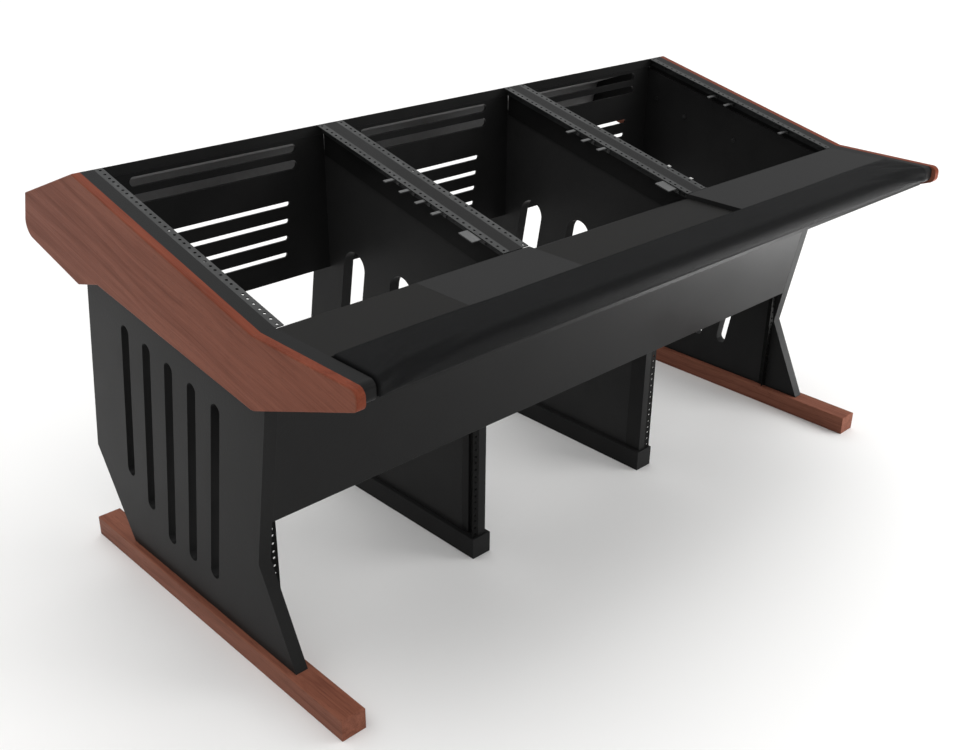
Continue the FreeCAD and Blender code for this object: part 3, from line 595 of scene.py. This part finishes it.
# %% [markdown]
# ### Black vinyl
# The armrest is covered in soft black vinyl. It is duller than the lacquer. The roughness
# follows the embossed cells, which are smoother than the creases between them. The creases
# are also painted darker than the cells, which is painted shade.

# %% Vinyl
VINYL_CELLS_PER_METRE = 620.0
VINYL_DEPTH = 0.22 * MM


def vinyl_finish(name):
    """Embossed black vinyl."""
    made, tree, shader, place = start_material(name, 0.50, specular=0.05)
    out = use_group(tree, hide, {"Vector": place, "Cells per metre": VINYL_CELLS_PER_METRE})
    # Darker in the creases between the cells: painted shade.
    tone = weigh(tree, out["Crease"], out["Cloud"], 0.6)
    tree.links.new(ramp(tree, tone, [(0.0, (0.0030, 0.0031, 0.0033)),
                                     (1.0, (0.0065, 0.0067, 0.0070))]),
                   shader.inputs["Base Color"])
    tree.links.new(remap(tree, out["Crease"], 0.0, 1.0, 0.60, 0.46), shader.inputs["Roughness"])
    bump(tree, shader, out["Height"], VINYL_DEPTH)
    return made


VINYL = vinyl_finish("black vinyl")
print("materials:", len(bpy.data.materials))

# %% [markdown]
# ## Easing the board edges
# No board leaves a workshop with a knife edge: each is sanded to a radius of a millimetre
# or so before spraying, and that is what catches the light. The CAD boards are sharp, so
# each is copied, its loose triangles are merged back into whole faces, and a small bevel
# goes round the edges. The bevel's faces take the second, slightly rubbed material.

# %% Eased copies
MERGE_DISTANCE = 0.02 * MM
FLAT_ANGLE = math.radians(0.6)
CORNER_ANGLE = math.radians(38)
SMOOTH_ANGLE = math.radians(42)


def copy_of_cad(name, label):
    """A merged copy of a CAD node, free of its frame data and materials."""
    deselect()
    made = nodes[name].copy()
    made.data = nodes[name].data.copy()
    made.name = label
    made.parent = None
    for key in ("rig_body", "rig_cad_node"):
        if key in made:
            del made[key]
    bpy.context.scene.collection.objects.link(made)
    pick(made)
    made.data.materials.clear()
    bpy.ops.object.mode_set(mode="EDIT")
    bpy.ops.mesh.select_all(action="SELECT")
    bpy.ops.mesh.customdata_custom_splitnormals_clear()
    bpy.ops.mesh.remove_doubles(threshold=MERGE_DISTANCE)
    bpy.ops.object.mode_set(mode="OBJECT")
    return made


def eased(name, width_mm, finish, edge_finish):
    """Replaces a CAD board with a copy whose edges are rounded."""
    board = copy_of_cad(name, name + "_finished")
    board.data.materials.append(finish)
    board.data.materials.append(edge_finish)
    bpy.ops.object.mode_set(mode="EDIT")
    bpy.ops.mesh.select_all(action="SELECT")
    bpy.ops.mesh.dissolve_limited(angle_limit=FLAT_ANGLE)
    bpy.ops.mesh.normals_make_consistent(inside=False)
    bpy.ops.object.mode_set(mode="OBJECT")
    add_modifier(board, "BEVEL", width=width_mm * MM, segments=2, limit_method="ANGLE",
                 angle_limit=CORNER_ANGLE, material=1, use_clamp_overlap=True)
    pick(board)
    bpy.ops.object.shade_smooth_by_angle(angle=SMOOTH_ANGLE)
    add_modifier(board, "WEIGHTED_NORMAL", keep_sharp=True, weight=100)
    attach(board, "root")
    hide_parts(name)
    return board


print("rounds corners over degrees:", round(math.degrees(CORNER_ANGLE)))

# %% [markdown]
# ### Which board takes which finish
# Thick boards get a larger radius than the thin back panels and deck sheets, and the feet
# get the largest. Behind the back panels the rear cover and the lip are pale grey on their
# undersides and on the faces that look forward, which is painted light seen through the slots.

# %% Ease the boards
THIN_EASE, SHEET_EASE, BOARD_EASE, FOOT_EASE = 0.4, 0.5, 0.8, 1.8
HIDDEN_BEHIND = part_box("back_panel_left")[1].y
TURNED_AWAY = -0.5
PAINTED_LIGHT_INDEX = 2
BLACK_BOARDS = ("side_frame", "leg_panel", "divider_panel", "divider_top_rail",
                "divider_stile", "divider_plinth", "rear_cover", "knee_panel")


def board_finish(name):
    """The lacquer a black board takes; bays get painted light, tops and front painted shade."""
    if name.startswith(("divider_panel", "rear_cover")):
        return PAINTED_LIGHT_INNER_LACQUER
    if name.startswith(("divider_top_rail", "side_frame")):
        return PAINTED_SHADE_TOP_LACQUER
    if name == "knee_panel":
        return GLOSSY_SHADED_FRONT_LACQUER
    return BLACK_LACQUER


def paint_light_behind_panels(board):
    """Paints a board's faces behind the back panels pale grey, as painted light."""
    board.data.materials.append(PAINTED_LIGHT_GREY)
    for face in board.data.polygons:
        turned = face.normal.z < TURNED_AWAY or face.normal.y < TURNED_AWAY
        if turned and face.center.y > HIDDEN_BEHIND:
            face.material_index = PAINTED_LIGHT_INDEX


for name in sorted(nodes):
    if name.startswith(BLACK_BOARDS):
        eased(name, BOARD_EASE, board_finish(name), BLACK_EDGE)
    elif name.startswith("back_panel"):
        eased(name, THIN_EASE, board_finish(name), BLACK_EDGE)
# The lip takes the paler deck sheet: painted light where it shows through the slots.
eased("rear_lip", BOARD_EASE, DECK_PALE, BLACK_EDGE)
for name in ("rear_cover_finished", "rear_lip_finished"):
    paint_light_behind_panels(bpy.data.objects[name])
for name in ("foot_left", "foot_right"):
    eased(name, FOOT_EASE, FOOT_WOOD, FOOT_WOOD)
for name, finish in (("deck_strip_left", DECK_DARK), ("deck_plate_left", DECK_PALE),
                     ("deck_strip_middle", DECK_DARK), ("deck_strip_right", DECK_PALE)):
    eased(name, SHEET_EASE, finish, finish)

# %% [markdown]
# ## Finishes for the pieces that keep their CAD shape
# The cheeks already have their rounded rim, and the rails, tabs, screws and hidden boards
# are right as they are. Each only needs its material.

# %% Finish the CAD nodes
FINISHES = {
    "cheek": CHEEK_WOOD,
    "rack_rail": RAIL_STEEL,
    "lower_rail": LOWER_STEEL,
    "rail_tabs_3_left": ZINC,
    "rail_tabs": TAB_STEEL,
    "foot_bolts": ZINC,
    "rail_screws": SCREW_BLACK,
    "tongue_screws": SCREW_BLACK,
    "armrest_core": BLACK_LACQUER,
    "deck_board": BLACK_LACQUER,
}
finished = 0
for name, piece in nodes.items():
    material = next((m for start, m in FINISHES.items() if name.startswith(start)), None)
    if material:
        piece.data.materials.clear()
        piece.data.materials.append(material)
        finished += 1
print("CAD nodes with a finish:", finished)

# %% [markdown]
# ## The armrest
# A strip of foam wraps over the front of the deck, with vinyl pulled round it and stapled
# underneath. The foam pushes the vinyl into a soft crown on top and a full roll in front.
# Cloth simulation does this well: the CAD solid is remeshed evenly, the faces that are
# glued down are pinned, and air pressure swells the rest for twenty frames. No point may
# move further than the crown's cap.

# %% Upholster the armrest
CROWN_CAP = 4.5 * MM
FOAM_VOXEL = 5.2 * MM
SWELL_FRAMES = 20
AIR_PRESSURE = 4.0
GLUE_FRONT, GLUE_TOP = 2.2 * MM, 2.4 * MM
GLUE_END, GLUE_BACK, GLUE_UNDER = 1.5 * MM, 2.0 * MM, 2.0 * MM
ROLL_DEPTH = 6 * MM
pad_low, pad_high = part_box("armrest_pad")
core_low, core_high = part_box("armrest_core")


def glued(point):
    """True where the padding lies on the core, the deck's edge or its end."""
    on_core = point.y > core_low.y - GLUE_FRONT and point.z < core_high.z + GLUE_TOP
    at_end = abs(point.x) > pad_high.x - GLUE_END
    at_back = point.y > pad_high.y - GLUE_BACK
    under = point.z < pad_low.z + GLUE_UNDER and point.y > pad_low.y + ROLL_DEPTH
    return on_core or at_end or at_back or under


def swell(pad):
    """Blows the padding up a little under pressure, and caps how far it may go."""
    held = pad.vertex_groups.new(name="glued")
    held.add([v.index for v in pad.data.vertices if glued(v.co)], 1.0, "REPLACE")
    start = [v.co.copy() for v in pad.data.vertices]
    cloth = pad.modifiers.new("Cloth", "CLOTH")
    cloth.settings.vertex_group_mass = "glued"
    cloth.settings.use_pressure = True
    cloth.settings.uniform_pressure_force = AIR_PRESSURE
    cloth.settings.effector_weights.gravity = 0.0
    cloth.settings.quality = 5
    for number in range(1, SWELL_FRAMES + 1):
        bpy.context.scene.frame_set(number)
    shown = pad.evaluated_get(bpy.context.evaluated_depsgraph_get()).data
    moved = [v.co.copy() for v in shown.vertices]
    pad.modifiers.remove(cloth)
    bpy.context.scene.frame_set(1)
    for vertex, old, new in zip(pad.data.vertices, start, moved):
        step = new - old
        if step.length > CROWN_CAP:
            step *= CROWN_CAP / step.length
        vertex.co = old + step
    pad.vertex_groups.clear()
    return max((new - old).length for old, new in zip(start, moved))


armrest = copy_of_cad("armrest_pad", "armrest_padding")
add_modifier(armrest, "REMESH", mode="VOXEL", voxel_size=FOAM_VOXEL)
print("armrest swelled by up to mm:", round(swell(armrest) * 1000, 1))
add_modifier(armrest, "SMOOTH", factor=0.5, iterations=3)
add_modifier(armrest, "SUBSURF", levels=1, render_levels=1)
pick(armrest)
bpy.ops.object.shade_smooth()
armrest.data.materials.append(VINYL)
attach(armrest, "root")
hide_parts("armrest_pad")
print("armrest faces:", len(armrest.data.polygons))
